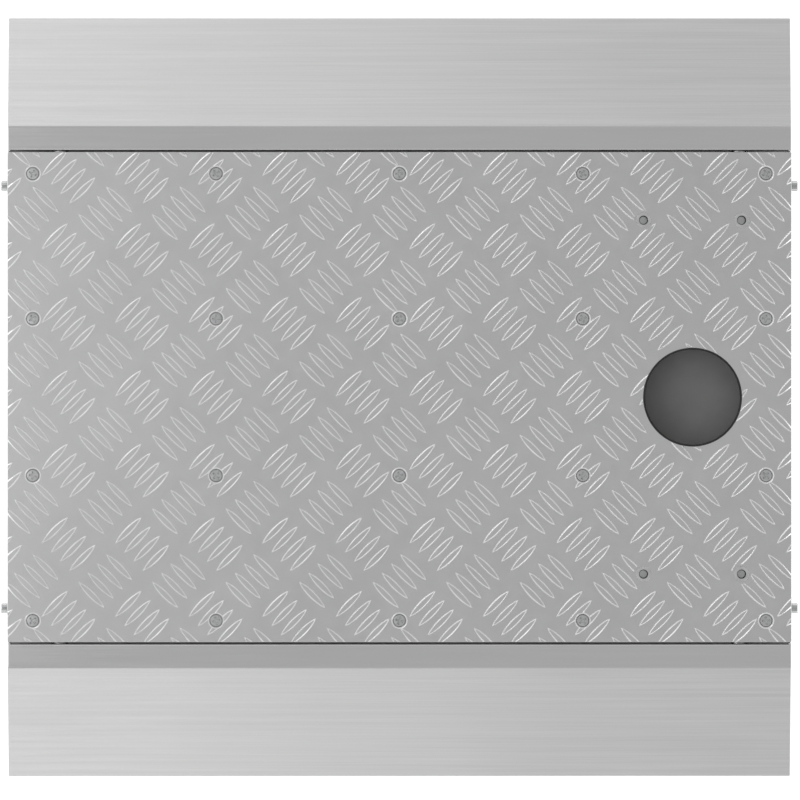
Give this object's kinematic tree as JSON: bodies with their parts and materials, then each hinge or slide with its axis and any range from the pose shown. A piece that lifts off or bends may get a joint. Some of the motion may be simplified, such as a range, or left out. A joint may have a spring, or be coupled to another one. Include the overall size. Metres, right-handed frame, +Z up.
{
  "type": "turnstile floor platform",
  "caption": "Walk-on tread-plate floor platform for mounting a turnstile, with a cable port, tapped fixings, levelling feet and lift-off access ramps.",
  "frame": {"origin": "centre of the footprint, on the floor", "axes": "+X right along the deck's long side, towards the cable port; +Y towards the rear ramp; +Z up"},
  "size_m": [0.8132, 0.776, 0.0495],
  "materials": {
    "tread_plate": "satin five-bar pattern",
    "brushed_sheet": "brushed along the width",
    "frame_tube": "grey powder coat",
    "zinc": "zinc plated",
    "black_rubber": "matt",
    "black_plastic": "fine grain",
    "well_sheet": "dark grey primer",
    "earth_brass": "plain"
  },
  "bodies": {
    "platform": {"side_rail_left": "frame_tube", "side_rail_right": "frame_tube", "end_rail_front": "frame_tube", "end_rail_rear": "frame_tube", "cross_member_front": "frame_tube", "cross_member_rear": "frame_tube", "mount_plate_front": "frame_tube", "mount_plate_rear": "frame_tube", "corner_gussets": "frame_tube", "rail_end_caps": "black_plastic", "deck_gasket": "black_rubber", "deck_plate": "tread_plate", "port_trim": "black_rubber", "turnstile_inserts": "zinc", "deck_screws": "zinc", "deck_rivet_nuts": "zinc", "side_screws": "zinc", "side_rivet_nuts": "zinc", "ramp_studs": "zinc", "ramp_stud_nuts": "zinc", "foot_bushes": "zinc", "foot_locknuts": "zinc", "well_floor": "well_sheet", "well_front_wall": "well_sheet", "well_rear_wall": "well_sheet", "well_left_wall": "well_sheet", "well_right_wall": "well_sheet", "well_rivets": "zinc", "well_grommet": "black_rubber", "earth_stud": "earth_brass", "earth_nuts": "earth_brass", "earth_washer": "earth_brass"},
    "ramp_front": {"ramp_front_plate": "brushed_sheet", "ramp_front_back": "brushed_sheet", "ramp_front_cheek_left": "brushed_sheet", "ramp_front_cheek_right": "brushed_sheet", "ramp_front_ribs": "brushed_sheet", "ramp_front_toe_pad": "black_rubber"},
    "ramp_rear": {"ramp_rear_plate": "brushed_sheet", "ramp_rear_back": "brushed_sheet", "ramp_rear_cheek_left": "brushed_sheet", "ramp_rear_cheek_right": "brushed_sheet", "ramp_rear_ribs": "brushed_sheet", "ramp_rear_toe_pad": "black_rubber"},
    "foot_front_left": {"foot_front_left_stud": "zinc", "foot_front_left_pad": "black_rubber"},
    "foot_front_right": {"foot_front_right_stud": "zinc", "foot_front_right_pad": "black_rubber"},
    "foot_middle_front": {"foot_middle_front_stud": "zinc", "foot_middle_front_pad": "black_rubber"},
    "foot_middle_rear": {"foot_middle_rear_stud": "zinc", "foot_middle_rear_pad": "black_rubber"},
    "foot_rear_left": {"foot_rear_left_stud": "zinc", "foot_rear_left_pad": "black_rubber"},
    "foot_rear_right": {"foot_rear_right_stud": "zinc", "foot_rear_right_pad": "black_rubber"}
  },
  "joints": [
    {"name": "ramp_front_lift", "type": "slide", "parent": "platform", "child": "ramp_front", "axis": [0, 0, 1], "range_m": [0, 0.06]},
    {"name": "ramp_rear_lift", "type": "slide", "parent": "platform", "child": "ramp_rear", "axis": [0, 0, 1], "range_m": [0, 0.06]},
    {"name": "foot_front_left_level", "type": "slide", "parent": "platform", "child": "foot_front_left", "axis": [0, 0, 1], "range_m": [-0.008, 0]},
    {"name": "foot_front_right_level", "type": "slide", "parent": "platform", "child": "foot_front_right", "axis": [0, 0, 1], "range_m": [-0.008, 0]},
    {"name": "foot_middle_front_level", "type": "slide", "parent": "platform", "child": "foot_middle_front", "axis": [0, 0, 1], "range_m": [-0.008, 0]},
    {"name": "foot_middle_rear_level", "type": "slide", "parent": "platform", "child": "foot_middle_rear", "axis": [0, 0, 1], "range_m": [-0.008, 0]},
    {"name": "foot_rear_left_level", "type": "slide", "parent": "platform", "child": "foot_rear_left", "axis": [0, 0, 1], "range_m": [-0.008, 0]},
    {"name": "foot_rear_right_level", "type": "slide", "parent": "platform", "child": "foot_rear_right", "axis": [0, 0, 1], "range_m": [-0.008, 0]}
  ]
}
